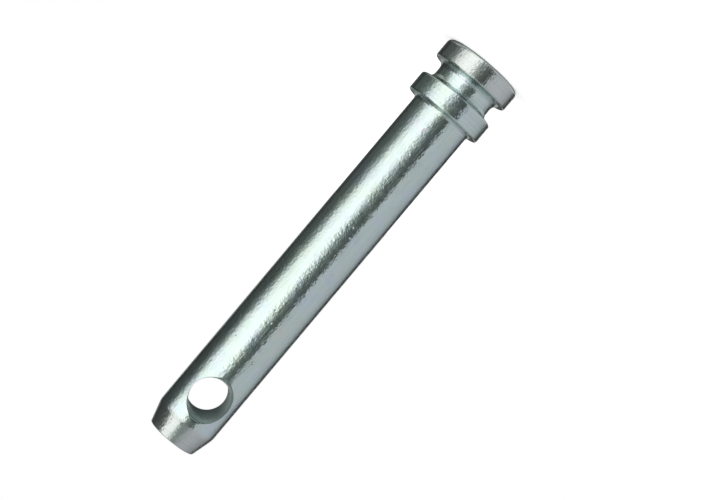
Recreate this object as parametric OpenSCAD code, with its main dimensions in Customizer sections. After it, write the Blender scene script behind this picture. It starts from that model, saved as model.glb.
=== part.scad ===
// Top link pin of a three-point linkage, turned from one bar.
// It stands on its head, with its axis along Z and its nose upwards.
// From the bottom: head, ring groove, collar, plain shaft, cross hole, tapered nose.

/* [Head] */
// Diameter of the head
head_d = 25.1; // [24.8:0.1:34]
// Thickness of the head, from its end face to the groove
head_w = 6.3; // [4:0.1:14]
// Rounding of the head's rim at its end face
head_end_r = 1.4; // [0.4:0.1:2]
// Rounding of the head's rim at the groove
head_groove_r = 0.6; // [0.2:0.1:0.9]

/* [Groove] */
// Diameter at the bottom of the groove
groove_d = 18.8; // [12:0.1:19.4]
// Width of the groove at its mouth
groove_w = 5.9; // [4.4:0.1:12]
// Fillet in the groove on the head's side
groove_head_r = 2.2; // [0.4:0.1:2.4]
// Fillet in the groove on the collar's side
groove_collar_r = 2; // [0.4:0.1:2.2]

/* [Collar] */
// Diameter of the collar
collar_d = 24.8; // [24.2:0.1:34]
// Thickness of the collar
collar_w = 6.3; // [3:0.1:14]
// Rounding of the collar's rim at the groove
collar_groove_r = 0.7; // [0.2:0.1:1]
// Rounding of the collar's rim at the shaft
collar_shaft_r = 0.6; // [0.2:0.1:0.8]

/* [Shaft] */
// Diameter of the plain shaft
shaft_d = 19; // [15:0.1:20]
// Length of the plain shaft, from the collar to the nose taper
shaft_len = 113.1; // [60:0.1:200]
// Fillet where the shaft meets the collar
shaft_fillet_r = 1.4; // [0.2:0.1:1.6]

/* [Nose] */
// Length of the nose taper
nose_len = 7.3; // [3:0.1:12]
// Angle of the nose taper to the axis
nose_angle = 15; // [5:0.5:25]
// Rounding at the end of the nose
nose_end_r = 0.5; // [0.2:0.1:1.5]

/* [Cross hole] */
// Diameter of the cross hole
hole_d = 12; // [6:0.1:13]
// Distance from the end of the nose to the middle of the cross hole
hole_setback = 16.3; // [12:0.1:40]
// How much wider than the hole its mouths are, on each side
mouth_flare = 1.2; // [0.2:0.1:1.4]
// Depth of the flare at each mouth
mouth_depth = 3.2; // [1:0.1:4]

/* [Hidden] */
$fn = 128;

head_r = head_d / 2;
groove_r = groove_d / 2;
collar_r = collar_d / 2;
shaft_r = shaft_d / 2;
hole_r = hole_d / 2;
mouth_r = hole_r + mouth_flare;

// Heights along the axis, from the head's end face
groove_z = head_w;
collar_z = groove_z + groove_w;
shaft_z = collar_z + collar_w;
nose_z = shaft_z + shaft_len;
end_z = nose_z + nose_len;
hole_z = end_z - hole_setback;

// Radius of the nose at its end, were it left sharp
end_r = shaft_r - nose_len * tan(nose_angle);

// Half section of a disc from height z, with its lower and upper rims rounded
module disc_section(r, z, w, low_r, high_r) {
    translate([0, z + low_r]) square([r, w - low_r - high_r]);
    translate([0, z]) square([r - low_r, low_r]);
    translate([0, z + w - high_r]) square([r - high_r, high_r]);
    translate([r - low_r, z + low_r]) circle(low_r);
    translate([r - high_r, z + w - high_r]) circle(high_r);
}

// Fillet in the corner between a bar of radius r and a face at height z,
// above the face with up = 1 or below it with up = -1
module fillet_section(r, z, fillet_r, up) {
    difference() {
        translate([r - fillet_r, up > 0 ? z : z - fillet_r]) square([2 * fillet_r, fillet_r]);
        translate([r + fillet_r, z + up * fillet_r]) circle(fillet_r);
    }
}

// Half section of the head, the groove and the collar
module head_section() {
    disc_section(head_r, 0, head_w, head_end_r, head_groove_r);
    translate([0, groove_z]) square([groove_r, groove_w]);
    fillet_section(groove_r, groove_z, groove_head_r, 1);
    fillet_section(groove_r, collar_z, groove_collar_r, -1);
    disc_section(collar_r, collar_z, collar_w, collar_groove_r, collar_shaft_r);
}

// Half section of the plain shaft
module shaft_section() {
    translate([0, shaft_z]) square([shaft_r, shaft_len]);
    fillet_section(shaft_r, shaft_z, shaft_fillet_r, 1);
}

// Half section of the nose: a taper whose end is rounded by an arc that touches
// both the taper and the end face
module nose_section() {
    arc_x = end_r - nose_end_r * tan(45 - nose_angle / 2);
    arc_z = end_z - nose_end_r;
    touch_x = arc_x + nose_end_r * cos(nose_angle);
    touch_z = arc_z + nose_end_r * sin(nose_angle);
    polygon([[0, nose_z], [shaft_r, nose_z], [touch_x, touch_z], [arc_x, arc_z],
             [arc_x, end_z], [0, end_z]]);
    translate([arc_x, arc_z]) circle(nose_end_r);
}

// The cross hole along Y, widened at both of its mouths
module cross_hole() {
    translate([0, 0, hole_z]) rotate([90, 0, 0]) {
        cylinder(h = shaft_d + 2, r = hole_r, center = true);
        for (side = [-1, 1])
            mirror([0, 0, side < 0 ? 1 : 0])
                translate([0, 0, shaft_r - mouth_depth])
                    cylinder(h = mouth_depth, r1 = hole_r, r2 = mouth_r);
    }
}

module link_pin() {
    color([0.76, 0.79, 0.79])
        difference() {
            rotate_extrude() {
                head_section();
                shaft_section();
                nose_section();
            }
            cross_hole();
        }
}

link_pin();
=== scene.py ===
from math import pi, radians, sin, cos, tan

import bmesh
import bpy
from mathutils import Matrix, Quaternion, Vector


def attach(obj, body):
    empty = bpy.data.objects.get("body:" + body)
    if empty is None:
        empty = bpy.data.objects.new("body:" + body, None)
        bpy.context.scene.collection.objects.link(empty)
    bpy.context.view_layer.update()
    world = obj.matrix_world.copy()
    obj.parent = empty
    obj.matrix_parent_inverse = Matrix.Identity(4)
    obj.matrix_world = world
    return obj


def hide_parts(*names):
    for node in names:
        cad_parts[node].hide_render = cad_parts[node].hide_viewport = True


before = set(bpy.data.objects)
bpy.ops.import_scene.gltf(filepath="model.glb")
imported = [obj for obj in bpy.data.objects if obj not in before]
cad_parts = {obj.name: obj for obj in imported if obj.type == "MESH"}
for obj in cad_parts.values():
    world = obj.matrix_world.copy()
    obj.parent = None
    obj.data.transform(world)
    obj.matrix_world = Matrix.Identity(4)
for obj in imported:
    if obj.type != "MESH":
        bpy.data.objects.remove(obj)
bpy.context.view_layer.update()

# The camera looks level at the standing pin, square to its axis, and is rolled so that
# the nose points down to the left of the picture and the head up to the right.
# The cross hole is turned a little away from it.
MM = 0.001
scene = bpy.context.scene
camera_distance = 458.5 * MM
camera_height = 63.1 * MM
camera_bearing = radians(11.4)
camera_roll = radians(-139.95)
sight_beside_axis = 6.76 * MM

look = Vector((-sin(camera_bearing), cos(camera_bearing), 0))
beside = Vector((-cos(camera_bearing), -sin(camera_bearing), 0))
camera_data = bpy.data.cameras.new("camera")
camera_data.lens = 80
camera = bpy.data.objects.new("camera", camera_data)
scene.collection.objects.link(camera)
camera.location = beside * sight_beside_axis - look * camera_distance
camera.location.z = camera_height
camera.rotation_mode = "QUATERNION"
camera.rotation_quaternion = look.to_track_quat("-Z", "Y") @ Quaternion((0, 0, 1), camera_roll)
scene.camera = camera

# The pin. The real one is turned from one drawn steel bar: a round head, a groove for
# a tether ring, a collar, the plain shaft and a tapered nose. A hole is drilled across
# near the nose and countersunk on both sides, and the whole is then plated with zinc.
head_r = 12.55 * MM
groove_r = 9.4 * MM
collar_r = 12.4 * MM
shaft_r = 9.5 * MM
groove_low = 6.3 * MM
groove_high = 12.2 * MM
collar_high = 18.5 * MM
taper_low = 132.2 * MM
taper_angle = radians(15.5)
nose_high = 138.9 * MM
nose_r = shaft_r - (nose_high - taper_low) * tan(taper_angle)
hole_r = 6.0 * MM
hole_z = 122.6 * MM
mouth_r = 7.0 * MM
mouth_depth = 3.2 * MM

# Roundings of its rims and corners. The one between shaft and taper takes off under 0.1 mm.
head_end_round = 1.4 * MM
head_groove_round = 0.6 * MM
groove_head_fillet = 2.2 * MM
groove_collar_fillet = 2.0 * MM
collar_groove_round = 0.7 * MM
collar_shaft_round = 0.6 * MM
shaft_fillet = 1.4 * MM
taper_round = 8.0 * MM
nose_round = 0.5 * MM


def outline(corners, steps=8):
    """Points along a line of corners, (radius, height, rounding), each rounded by an arc."""
    sharp = [Vector((r, 0, z)) for r, z, rounding in corners]
    points = [sharp[0]]
    for before, corner, after, spec in zip(sharp, sharp[1:], sharp[2:], corners[1:]):
        back, on = (before - corner).normalized(), (after - corner).normalized()
        half = back.angle(on) / 2
        start = back * spec[2] / tan(half)
        centre = (back + on).normalized() * spec[2] / sin(half)
        turn = (2 * half - pi) if back.cross(on).y > 0 else (pi - 2 * half)
        for step in range(steps + 1):
            swing = Quaternion((0, 1, 0), turn * step / steps)
            points.append(corner + centre + swing @ (start - centre))
    return points + [sharp[-1]]


steps_round = 256
doubled_within = 0.001 * MM


def revolve(name, points, fine=()):
    """A closed body turned round Z from its half section, with extra rings at the fine heights."""
    body = bmesh.new()
    line = [body.verts.new(point) for point in points]
    for pair in zip(line, line[1:]):
        body.edges.new(pair)
    for z in fine:
        bmesh.ops.bisect_plane(body, geom=body.verts[:] + body.edges[:], plane_co=(0, 0, z),
                               plane_no=(0, 0, 1))
    bmesh.ops.spin(body, geom=body.verts[:] + body.edges[:], cent=(0, 0, 0), axis=(0, 0, 1),
                   dvec=(0, 0, 0), angle=2 * pi, steps=steps_round, use_merge=True)
    bmesh.ops.remove_doubles(body, verts=body.verts, dist=doubled_within)
    bmesh.ops.recalc_face_normals(body, faces=body.faces)
    for face in body.faces:
        face.smooth = True
    data = bpy.data.meshes.new(name)
    body.to_mesh(data)
    body.free()
    made = bpy.data.objects.new(name, data)
    scene.collection.objects.link(made)
    return made


# Rings close together around the hole, so that the cut leaves no long thin faces.
ring_step = 0.3 * MM
rings_each_way = 28
rings_by_hole = [hole_z + step * ring_step for step in range(-rings_each_way, rings_each_way + 1)]
pin = revolve("turned_pin", outline([
    (0, 0, 0),
    (head_r, 0, head_end_round),
    (head_r, groove_low, head_groove_round),
    (groove_r, groove_low, groove_head_fillet),
    (groove_r, groove_high, groove_collar_fillet),
    (collar_r, groove_high, collar_groove_round),
    (collar_r, collar_high, collar_shaft_round),
    (shaft_r, collar_high, shaft_fillet),
    (shaft_r, taper_low, taper_round),
    (nose_r, nose_high, nose_round),
    (0, nose_high, 0),
]), fine=rings_by_hole)

# The drill is a plain bore with a countersink at each end. Where the countersink leaves
# the shaft it turns outwards into a flange, so the rim of the hole is eased and not sharp.
countersink_low = shaft_r - mouth_depth
countersink_high = shaft_r - 0.2 * MM
countersink_blend = 7.0 * MM
lip_round = 0.8 * MM
flange_r = 10 * MM
flange_out = 10.2 * MM
flange_round = 0.1 * MM
drill_end = 12 * MM
drill = revolve("drill", outline([
    (0, -drill_end, 0),
    (flange_r, -flange_out, flange_round),
    (mouth_r, -countersink_high, lip_round),
    (hole_r, -countersink_low, countersink_blend),
    (hole_r, countersink_low, countersink_blend),
    (mouth_r, countersink_high, lip_round),
    (flange_r, flange_out, flange_round),
    (0, drill_end, 0),
]))
drill.data.transform(Matrix.Translation((0, 0, hole_z)) @ Matrix.Rotation(-pi / 2, 4, "X"))


def linear(code):
    """An sRGB hex colour, such as #C9D2D1, as a linear colour with alpha."""
    parts = [int(code[i:i + 2], 16) / 255 for i in (1, 3, 5)]
    return [c / 12.92 if c <= 0.04045 else ((c + 0.055) / 1.055) ** 2.4 for c in parts] + [1]


def add(tree, kind, settings={}, inputs={}):
    """One node with its settings, and its inputs as values or as sockets to link from."""
    made = tree.nodes.new(kind)
    for name, value in settings.items():
        setattr(made, name, value)
    for name, value in inputs.items():
        if isinstance(value, bpy.types.NodeSocket):
            tree.links.new(value, made.inputs[name])
        else:
            made.inputs[name].default_value = value
    return made


# Bright zinc plating over steel: smooth and cold in tone, and it mirrors its
# surroundings with soft edges. The bath leaves a ripple like orange peel and a faint
# bloom of green, blue and violet. The bar's drawing lines show through along the
# shaft, and the lathe's rings on the head, the collar and the nose.
zinc = bpy.data.materials.new("bright_zinc_plating")
zinc.use_nodes = True
tree = zinc.node_tree
tree.nodes.clear()
place = add(tree, "ShaderNodeTexCoord").outputs["Object"]

# The ripple is 0.9 mm across, and the bar's own unevenness is 5 mm wide and 10 mm long.
peel = add(tree, "ShaderNodeTexNoise", {}, {
    "Vector": place, "Scale": 1 / (0.9 * MM), "Detail": 1.0, "Roughness": 0.7}).outputs["Fac"]
wave_place = add(tree, "ShaderNodeMapping", {}, {
    "Vector": place, "Scale": (1 / (5 * MM), 1 / (5 * MM), 1 / (10 * MM))}).outputs[0]
wave = add(tree, "ShaderNodeTexNoise", {}, {
    "Vector": wave_place, "Scale": 1.0, "Detail": 1.0, "Roughness": 0.5}).outputs["Fac"]

# Drawing lines are about 0.05 mm apart. They are drawn 0.4 mm apart, so that they show.
line_place = add(tree, "ShaderNodeMapping", {}, {
    "Vector": place, "Scale": (1 / (0.4 * MM), 1 / (0.4 * MM), 1 / (14 * MM))}).outputs[0]
lines = add(tree, "ShaderNodeTexNoise", {}, {
    "Vector": line_place, "Scale": 1.0, "Detail": 2.0, "Roughness": 0.6}).outputs["Fac"]

# The lathe's rings are about 0.1 mm apart. They are drawn 0.5 mm apart, so that they show.
split = add(tree, "ShaderNodeSeparateXYZ", {}, {"Vector": place})
flat_place = add(tree, "ShaderNodeCombineXYZ", {}, {
    "X": split.outputs["X"], "Y": split.outputs["Y"]}).outputs[0]
from_axis = add(tree, "ShaderNodeVectorMath", {"operation": "LENGTH"}, {
    0: flat_place}).outputs["Value"]
ring_place = add(tree, "ShaderNodeCombineXYZ", {}, {
    "X": from_axis, "Y": split.outputs["Z"]}).outputs[0]
rings = add(tree, "ShaderNodeTexNoise", {}, {
    "Vector": ring_place, "Scale": 1 / (0.5 * MM), "Detail": 1.0, "Roughness": 0.5}).outputs["Fac"]
on_head = add(tree, "ShaderNodeMapRange", {}, {
    "Value": split.outputs["Z"], "From Min": 21 * MM, "From Max": 19.5 * MM}).outputs[0]
on_nose = add(tree, "ShaderNodeMapRange", {}, {
    "Value": split.outputs["Z"], "From Min": taper_low - 1 * MM, "From Max": taper_low}).outputs[0]
turned = add(tree, "ShaderNodeMath", {"operation": "MAXIMUM"}, {0: on_head, 1: on_nose}).outputs[0]
grain = add(tree, "ShaderNodeMix", {"data_type": "FLOAT"}, {
    "Factor": turned, "A": lines, "B": rings}).outputs["Result"]

# Fine scratches from handling, about 0.3 mm wide and 6 mm long, in two directions.
scratches = 0.0
for turn in ((0.5, 0.3, 0.9), (-0.4, 0.8, 0.2)):
    scratch_place = add(tree, "ShaderNodeMapping", {}, {
        "Vector": place, "Rotation": turn,
        "Scale": (1 / (0.3 * MM), 1 / (6 * MM), 1 / (6 * MM))}).outputs[0]
    scratch = add(tree, "ShaderNodeTexNoise", {}, {
        "Vector": scratch_place, "Scale": 1.0, "Detail": 0.0}).outputs["Fac"]
    scratch = add(tree, "ShaderNodeMapRange", {}, {
        "Value": scratch, "From Min": 0.74, "From Max": 0.82}).outputs[0]
    scratches = add(tree, "ShaderNodeMath", {"operation": "ADD"}, {
        0: scratch, 1: scratches}).outputs[0]

# Small nicks in the shaft: bearing from the camera in degrees, then height, width and
# depth in millimetres.
nicks = 0.0
for bearing, z, width, depth in (
        (25, 106.9, 1.3, 0.30), (5, 94.9, 0.9, 0.08), (7, 59.6, 1.0, 0.10),
        (16, 62.5, 0.9, 0.12), (0, 33.7, 0.8, 0.07), (-3, 91.4, 0.8, 0.08),
        (-30, 104.0, 0.7, 0.10), (150, 80.0, 1.0, 0.10), (215, 48.0, 0.8, 0.10),
        (265, 101.0, 1.0, 0.10)):
    turn = camera_bearing - pi / 2 - radians(bearing)
    nick_at = (shaft_r * cos(turn), shaft_r * sin(turn), z * MM)
    apart = add(tree, "ShaderNodeVectorMath", {"operation": "DISTANCE"}, {
        0: place, 1: nick_at}).outputs["Value"]
    nick = add(tree, "ShaderNodeMapRange", {"interpolation_type": "SMOOTHSTEP"}, {
        "Value": apart, "From Min": width / 2 * MM, "From Max": 0.0, "To Max": depth}).outputs[0]
    nicks = add(tree, "ShaderNodeMath", {"operation": "ADD"}, {0: nick, 1: nicks}).outputs[0]

# Height of all of it together, in millimetres.
peel_depth = 0.08
wave_depth = 0.09
grain_depth = 0.004
scratch_depth = 0.008
height = add(tree, "ShaderNodeMath", {"operation": "MULTIPLY"}, {0: peel, 1: peel_depth}).outputs[0]
for part, depth in (
        (wave, wave_depth), (grain, grain_depth), (scratches, -scratch_depth), (nicks, -1.0)):
    height = add(tree, "ShaderNodeMath", {"operation": "MULTIPLY_ADD"}, {
        0: part, 1: depth, 2: height}).outputs[0]
bump = add(tree, "ShaderNodeBump", {}, {
    "Height": height, "Distance": MM, "Strength": 1.0}).outputs[0]

# The bloom lies in patches about 8 mm across, and haze in patches of about 3 mm. The bloom
# hardly shows on the head and on the nose, where the plating is thickest and greyer.
bloom = add(tree, "ShaderNodeTexNoise", {}, {
    "Vector": place, "Scale": 1 / (8 * MM), "Detail": 3.0, "Roughness": 0.6}).outputs["Fac"]
tints = add(tree, "ShaderNodeValToRGB", {}, {"Fac": bloom})
stops = tints.color_ramp.elements
stops[0].position, stops[0].color = 0.32, linear("#D4DED5")
stops[1].position, stops[1].color = 0.70, linear("#D7DAE0")
for position, code in ((0.43, "#CFDFD9"), (0.52, "#D1DFDC"), (0.61, "#CEDDE0")):
    stops.new(position).color = linear(code)
at_head = add(tree, "ShaderNodeMapRange", {}, {
    "Value": split.outputs["Z"], "From Min": groove_low + 1 * MM,
    "From Max": groove_low}).outputs[0]
at_ends = add(tree, "ShaderNodeMath", {"operation": "MAXIMUM"}, {0: at_head, 1: on_nose}).outputs[0]
greyness = add(tree, "ShaderNodeMath", {"operation": "MULTIPLY"}, {0: at_ends, 1: 0.8}).outputs[0]
colour = add(tree, "ShaderNodeMix", {"data_type": "RGBA"}, {
    0: greyness, 6: tints.outputs["Color"], 7: linear("#D2D6D2")}).outputs[2]
shade = add(tree, "ShaderNodeMapRange", {}, {
    "Value": grain, "From Min": 0.3, "From Max": 0.7, "To Min": 0.96, "To Max": 1.03}).outputs[0]
colour = add(tree, "ShaderNodeVectorMath", {"operation": "SCALE"}, {
    0: colour, "Scale": shade}).outputs[0]
gloss = add(tree, "ShaderNodeMapRange", {}, {
    "Value": grain, "From Min": 0.3, "From Max": 0.7, "To Min": 0.14, "To Max": 0.09}).outputs[0]
haze = add(tree, "ShaderNodeTexNoise", {}, {
    "Vector": place, "Scale": 1 / (3 * MM), "Detail": 3.0, "Roughness": 0.6}).outputs["Fac"]
haze = add(tree, "ShaderNodeMapRange", {}, {
    "Value": haze, "From Min": 0.42, "From Max": 0.65, "To Max": 0.13}).outputs[0]
gloss = add(tree, "ShaderNodeMath", {"operation": "ADD"}, {0: gloss, 1: haze}).outputs[0]
gloss = add(tree, "ShaderNodeMath", {"operation": "MULTIPLY_ADD"}, {
    0: scratches, 1: 0.1, 2: gloss}).outputs[0]
shader = add(tree, "ShaderNodeBsdfPrincipled", {}, {
    "Base Color": colour, "Metallic": 1.0, "Roughness": gloss, "Normal": bump})
add(tree, "ShaderNodeOutputMaterial", {}, {"Surface": shader.outputs["BSDF"]})

# Inside the hole the plating is thin and dull, over the scores of the drill. Its colour
# is painted shade and painted light: dark deep in the bore, and lighter towards the front
# mouth, the one that faces the camera, and in both countersinks. A chalky film that
# scatters the light grows there too, and handling has rubbed it off the lip.
bore = bpy.data.materials.new("bore_zinc_with_painted_shade")
bore.use_nodes = True
tree = bore.node_tree
tree.nodes.clear()
place = add(tree, "ShaderNodeTexCoord").outputs["Object"]
score_place = add(tree, "ShaderNodeMapping", {}, {
    "Vector": place, "Scale": (1 / (6 * MM), 1 / (0.5 * MM), 1 / (6 * MM))}).outputs[0]
scores = add(tree, "ShaderNodeTexNoise", {}, {
    "Vector": score_place, "Scale": 1.0, "Detail": 2.0, "Roughness": 0.6}).outputs["Fac"]
bump = add(tree, "ShaderNodeBump", {}, {
    "Height": scores, "Distance": 0.02 * MM, "Strength": 1.0}).outputs[0]
dull = add(tree, "ShaderNodeMapRange", {}, {
    "Value": scores, "From Min": 0.3, "From Max": 0.7, "To Min": 0.42, "To Max": 0.32}).outputs[0]
along_bore = add(tree, "ShaderNodeSeparateXYZ", {}, {"Vector": place}).outputs["Y"]
beyond = add(tree, "ShaderNodeMath", {"operation": "ABSOLUTE"}, {0: along_bore}).outputs[0]
painted_light_and_chalk_in_countersinks = add(tree, "ShaderNodeMapRange", {}, {
    "Value": beyond, "From Min": countersink_low, "From Max": countersink_high}).outputs[0]
painted_light_and_chalk_to_front = add(tree, "ShaderNodeMapRange", {}, {
    "Value": along_bore, "From Min": countersink_low, "From Max": -countersink_low}).outputs[0]
painted_light_and_chalk = add(tree, "ShaderNodeMath", {"operation": "MAXIMUM"}, {
    0: painted_light_and_chalk_in_countersinks, 1: painted_light_and_chalk_to_front}).outputs[0]
at_lip = add(tree, "ShaderNodeMapRange", {}, {
    "Value": beyond, "From Min": shaft_r - 0.9 * MM, "From Max": shaft_r - 0.4 * MM}).outputs[0]
# Painted shade and painted light: the bore's colour is dark deep inside, and lighter towards the
# front mouth and in both countersinks.
colour = add(tree, "ShaderNodeMix", {"data_type": "RGBA"}, {
    0: painted_light_and_chalk, 6: linear("#849996"), 7: linear("#D0E2DF")}).outputs[2]
colour = add(tree, "ShaderNodeMix", {"data_type": "RGBA"}, {
    0: at_lip, 6: colour, 7: linear("#A3B2AE")}).outputs[2]
dull = add(tree, "ShaderNodeMix", {"data_type": "FLOAT"}, {
    "Factor": at_lip, "A": dull, "B": 0.22}).outputs["Result"]
chalk = add(tree, "ShaderNodeMath", {"operation": "SUBTRACT", "use_clamp": True}, {
    0: painted_light_and_chalk, 1: at_lip}).outputs[0]
bare = add(tree, "ShaderNodeMapRange", {}, {
    "Value": chalk, "To Min": 1.0, "To Max": 0.80}).outputs[0]
shader = add(tree, "ShaderNodeBsdfPrincipled", {}, {
    "Base Color": colour, "Metallic": bare, "Roughness": dull, "Normal": bump})
add(tree, "ShaderNodeOutputMaterial", {}, {"Surface": shader.outputs["BSDF"]})

for body in (pin, drill):
    body.data.materials.append(zinc)
    body.data.materials.append(bore)
for face in drill.data.polygons:
    face.material_index = 1

# The hole is cut, the doubled corners that the cut leaves are merged, and the rim stays
# crisp where two faces meet at a steep angle.
crisp_over = radians(50)
cut = pin.modifiers.new("cross_hole", "BOOLEAN")
cut.operation = "DIFFERENCE"
cut.solver = "EXACT"
cut.object = drill
weld = pin.modifiers.new("doubled_corners", "WELD")
weld.merge_threshold = doubled_within
drilled = pin.evaluated_get(bpy.context.evaluated_depsgraph_get())
pin.data = bpy.data.meshes.new_from_object(drilled)
pin.modifiers.clear()
bpy.data.objects.remove(drill)
pin.data.set_sharp_from_angle(angle=crisp_over)
even = pin.modifiers.new("even_normals", "WEIGHTED_NORMAL")
even.keep_sharp = True

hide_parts("link_pin")
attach(pin, "root")

# The floor: a sheet of white paper under the head, which gives a plain, matt white that
# keeps the pin's shadow. To the camera it also glows a little, so that it turns white.
floor_half = 3.0
floor_glow = 0.3
paper_white = (0.9, 0.9, 0.9, 1)
floor_shape = bmesh.new()
bmesh.ops.create_grid(floor_shape, x_segments=1, y_segments=1, size=floor_half)
floor_mesh = bpy.data.meshes.new("floor")
floor_shape.to_mesh(floor_mesh)
floor_shape.free()
floor = bpy.data.objects.new("floor", floor_mesh)
scene.collection.objects.link(floor)
floor.visible_glossy = False
paper = bpy.data.materials.new("white_paper")
paper.use_nodes = True
tree = paper.node_tree
tree.nodes.clear()
rays = add(tree, "ShaderNodeLightPath").outputs
seen = rays["Is Camera Ray"]
for kind in ("Is Glossy Ray", "Is Transmission Ray"):
    seen = add(tree, "ShaderNodeMath", {"operation": "MAXIMUM"}, {
        0: seen, 1: rays[kind]}).outputs[0]
lift = add(tree, "ShaderNodeMath", {"operation": "MULTIPLY"}, {
    0: seen, 1: floor_glow}).outputs[0]
glow = add(tree, "ShaderNodeEmission", {}, {"Color": (1, 1, 1, 1), "Strength": lift})
matt = add(tree, "ShaderNodeBsdfDiffuse", {}, {"Color": paper_white})
both = add(tree, "ShaderNodeAddShader", {}, {0: glow.outputs[0], 1: matt.outputs[0]})
add(tree, "ShaderNodeOutputMaterial", {}, {"Surface": both.outputs[0]})
floor_mesh.materials.append(paper)

# The studio that the plating mirrors: a round tent with the pin in its middle. To one side
# of the camera it has a broad lit screen, to the other grey paper, and behind the pin dark
# cloth with one lit strip. Each row is a bearing in degrees from the camera, a level and
# what hangs there. The tables are for its walls below, lowest, level, a little raised,
# high and steep, and plain grey closes its top and bottom.
tent_r = 4.0
brightest = 1.6
cloth = (0.90, 1.0, 0.96)
screen = (1.0, 1.0, 0.985)
sheet = (0.99, 1.0, 1.07)
top = (0.20, 0.20, 0.20, 1)
bottom = (0.35, 0.35, 0.35, 1)
walls_below = [
    (-180, 0.05, cloth), (-150, 0.10, cloth), (-129, 0.25, cloth), (-103, 0.50, screen),
    (-90, 0.25, cloth), (-78, 0.32, screen), (-64, 1.00, screen), (-50, 1.35, screen),
    (-20, 1.35, screen), (-8, 0.85, cloth), (3, 0.26, cloth), (17, 0.14, cloth),
    (34, 0.15, cloth), (40, 0.45, sheet), (75, 0.56, sheet), (104, 0.55, sheet),
    (126, 0.60, sheet), (155, 0.40, cloth), (166, 0.10, cloth), (180, 0.05, cloth),
]
walls_lowest = [
    (-180, 0.25, cloth), (-150, 0.55, cloth), (-90, 0.65, screen),
] + [row for row in walls_below if row[0] > -70]
walls_level = [
    (-180, 0.07, cloth), (-161, 0.13, cloth), (-147, 0.055, cloth), (-136, 0.045, cloth),
    (-122, 0.105, cloth), (-103, 0.105, cloth), (-93, 0.155, cloth), (-83, 0.235, cloth),
    (-74, 0.36, cloth), (-66, 0.90, screen), (-58, 1.12, screen), (-44, 1.36, screen),
    (-21, 1.48, screen), (-14, 1.00, screen), (-9, 0.58, screen), (0, 0.32, cloth),
    (8, 0.155, cloth), (17, 0.12, cloth), (33, 0.085, cloth), (36, 0.31, cloth),
    (39, 0.60, sheet), (84, 0.57, sheet), (103, 0.535, sheet), (122, 0.41, sheet),
    (138, 0.12, sheet), (147, 0.03, cloth), (157, 0.03, cloth), (161, 0.50, screen),
    (169, 0.50, screen), (173, 0.07, cloth), (180, 0.07, cloth),
]
walls_raised = [
    (-180, 0.12, cloth), (-161, 0.50, cloth), (-148, 0.055, cloth), (-136, 0.035, cloth),
    (-122, 0.07, cloth), (-103, 0.07, cloth), (-93, 0.105, cloth), (-83, 0.235, cloth),
    (-74, 0.58, screen), (-66, 1.08, screen), (-58, 1.28, screen), (-44, 1.40, screen),
    (-21, 1.48, screen), (-10, 1.45, screen), (-6, 1.30, screen), (-2, 0.85, screen),
    (3.5, 0.42, cloth), (10, 0.22, cloth), (20, 0.135, cloth), (31, 0.10, cloth),
    (35, 0.30, cloth), (39, 0.56, sheet),
] + [row for row in walls_level if row[0] > 80]
walls_high = [
    (-180, 0.40, screen), (-170, 0.30, screen), (-155, 0.07, cloth), (-132, 0.05, cloth),
    (-93, 0.09, cloth), (-61, 0.12, cloth), (-55, 0.50, screen), (-48, 1.30, screen),
    (-20, 1.20, screen), (-8, 0.60, cloth), (0, 0.30, cloth), (22, 0.25, cloth),
    (34, 0.50, sheet), (70, 0.55, sheet), (104, 0.42, sheet), (140, 0.25, sheet),
    (158, 0.07, cloth), (170, 0.30, screen), (180, 0.40, screen),
]
walls_steep = [
    (-180, 0.75, screen), (-162, 0.70, screen), (-148, 0.25, cloth), (-125, 0.12, cloth),
    (-90, 0.20, cloth), (-76, 0.25, screen), (-65, 0.50, screen), (-54, 1.45, screen),
    (-20, 1.30, screen), (-8, 0.90, cloth), (3, 0.33, cloth), (22, 0.30, cloth),
    (45, 0.50, sheet), (104, 0.42, sheet), (148, 0.40, sheet), (162, 0.70, screen),
    (180, 0.75, screen),
]
tent_shape = bmesh.new()
bmesh.ops.create_uvsphere(tent_shape, u_segments=96, v_segments=48, radius=tent_r,
                          matrix=Matrix.Translation((0, 0, camera_height)))
bmesh.ops.reverse_faces(tent_shape, faces=tent_shape.faces)
for face in tent_shape.faces:
    face.smooth = True
tent_mesh = bpy.data.meshes.new("studio_tent")
tent_shape.to_mesh(tent_mesh)
tent_shape.free()
tent = bpy.data.objects.new("studio_tent", tent_mesh)
scene.collection.objects.link(tent)
tent.visible_camera = False
tent.visible_diffuse = False
tent.visible_shadow = False
walls = bpy.data.materials.new("studio_walls")
walls.use_nodes = True
tree = walls.node_tree
tree.nodes.clear()
place = add(tree, "ShaderNodeTexCoord").outputs["Object"]
centred = add(tree, "ShaderNodeVectorMath", {"operation": "SUBTRACT"}, {
    0: place, 1: (0, 0, camera_height)}).outputs[0]
turned = add(tree, "ShaderNodeMapping", {}, {
    "Vector": centred, "Rotation": (0, 0, -camera_bearing),
    "Scale": (1 / tent_r, 1 / tent_r, 1 / tent_r)}).outputs[0]
split = add(tree, "ShaderNodeSeparateXYZ", {}, {"Vector": turned})
left = add(tree, "ShaderNodeMath", {"operation": "MULTIPLY"}, {
    0: split.outputs["X"], 1: -1.0}).outputs[0]
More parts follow.
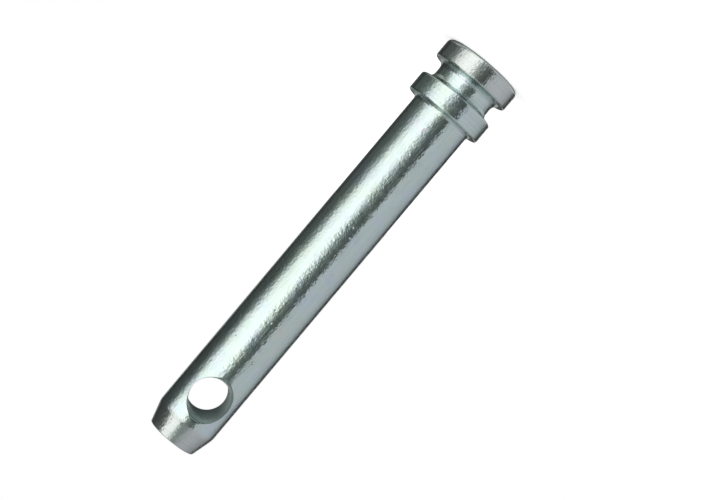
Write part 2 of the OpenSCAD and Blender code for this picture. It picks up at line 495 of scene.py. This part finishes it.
near = add(tree, "ShaderNodeMath", {"operation": "MULTIPLY"}, {
    0: split.outputs["Y"], 1: -1.0}).outputs[0]
bearing = add(tree, "ShaderNodeMath", {"operation": "ARCTAN2"}, {0: left, 1: near}).outputs[0]
share = add(tree, "ShaderNodeMapRange", {}, {
    "Value": bearing, "From Min": -pi, "From Max": pi}).outputs[0]
colours = []
for table in (
        walls_level, walls_raised, walls_high, walls_steep, walls_below, walls_lowest):
    ramp = add(tree, "ShaderNodeValToRGB", {}, {"Fac": share})
    stops = ramp.color_ramp.elements
    while len(stops) > 1:
        stops.remove(stops[0])
    for angle, level, stuff in table:
        stop = stops[0] if angle == -180 else stops.new((angle + 180) / 360)
        stop.position = (angle + 180) / 360
        stop.color = [level / brightest * part for part in stuff] + [1]
    colours.append(ramp.outputs["Color"])

# From the level walls each of the others fades in between two heights, given as shares of
# the tent's radius.
colour, raised, high, steep, below, lowest = colours
for other, start, end in (
        (raised, -0.02, 0.1), (high, 0.30, 0.44), (steep, 0.5, 0.68), (top, 0.93, 0.995),
        (below, -0.2, -0.36), (lowest, -0.66, -0.82), (bottom, -0.93, -0.995)):
    how_far = add(tree, "ShaderNodeMapRange", {"interpolation_type": "SMOOTHSTEP"}, {
        "Value": split.outputs["Z"], "From Min": start, "From Max": end}).outputs[0]
    colour = add(tree, "ShaderNodeMix", {"data_type": "RGBA"}, {
        0: how_far, 6: colour, 7: other}).outputs[2]
light = add(tree, "ShaderNodeEmission", {}, {"Color": colour, "Strength": brightest})
add(tree, "ShaderNodeOutputMaterial", {}, {"Surface": light.outputs[0]})
tent_mesh.materials.append(walls)

# Soft even white from all sides lights what is matt, and is the white behind the pin.
world = bpy.data.worlds.new("studio")
scene.world = world
world.use_nodes = True
tree = world.node_tree
tree.nodes.clear()
sky = add(tree, "ShaderNodeBackground", {}, {"Color": (1, 1, 1, 1), "Strength": 1.0})
add(tree, "ShaderNodeOutputWorld", {}, {"Surface": sky.outputs[0]})
scene.view_settings.view_transform = "Standard"
